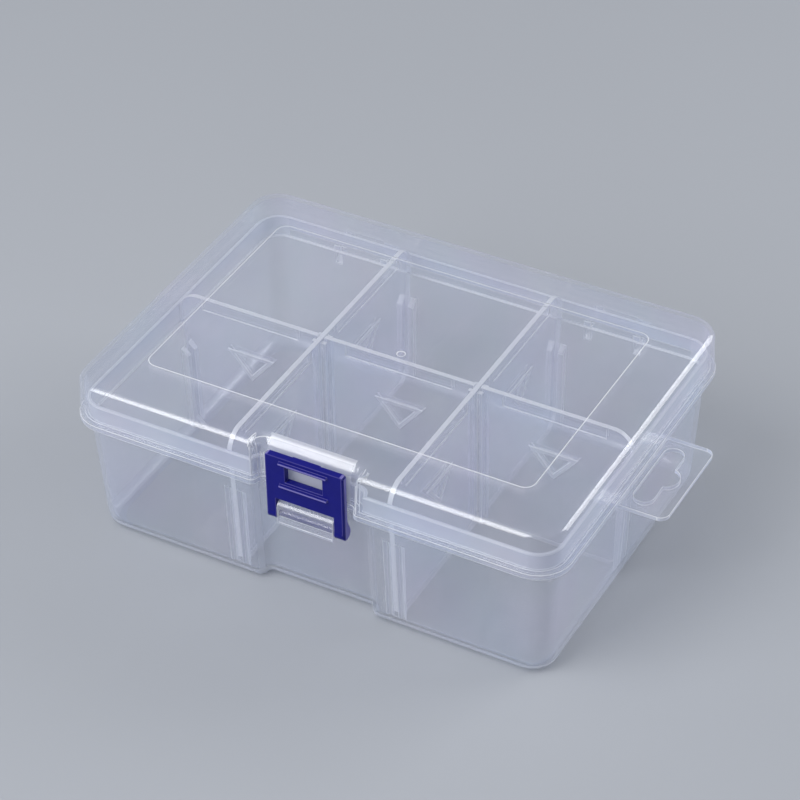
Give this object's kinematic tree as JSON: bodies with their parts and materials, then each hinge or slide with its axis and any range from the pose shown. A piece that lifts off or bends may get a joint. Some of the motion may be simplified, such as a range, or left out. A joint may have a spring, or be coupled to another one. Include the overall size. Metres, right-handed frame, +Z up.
{
  "type": "divided bead storage box",
  "caption": "Shallow translucent storage box for beads with one hinged lid, a snap latch, lift-out dividers and a hanging tab.",
  "frame": {"origin": "middle of the tray's flat underside, below the middle of the flange", "axes": "+X toward the hanging tab on the right, +Y toward the hinge at the back, +Z up; the latch is at the front"},
  "size_m": [0.1798, 0.125, 0.058],
  "materials": {
    "clear_plastic": "translucent polypropylene, smooth",
    "latch_plastic": "opaque dark blue polypropylene, glossy"
  },
  "bodies": {
    "tray": {"tray": "clear_plastic", "divider_long_left": "clear_plastic", "divider_long_right": "clear_plastic", "divider_short_left": "clear_plastic", "divider_short_middle": "clear_plastic", "divider_short_right": "clear_plastic"},
    "lid": {"lid": "clear_plastic"},
    "latch": {"latch": "latch_plastic"}
  },
  "joints": [
    {"name": "lid_hinge", "type": "hinge", "parent": "tray", "child": "lid", "pos_m": [0, 0.0627, 0.0428], "axis": [-1, 0, 0], "range_deg": [0, 180]},
    {"name": "latch_pivot", "type": "hinge", "parent": "tray", "child": "latch", "pos_m": [0, -0.0569, 0.0327], "axis": [1, 0, 0], "range_deg": [0, 130]}
  ]
}
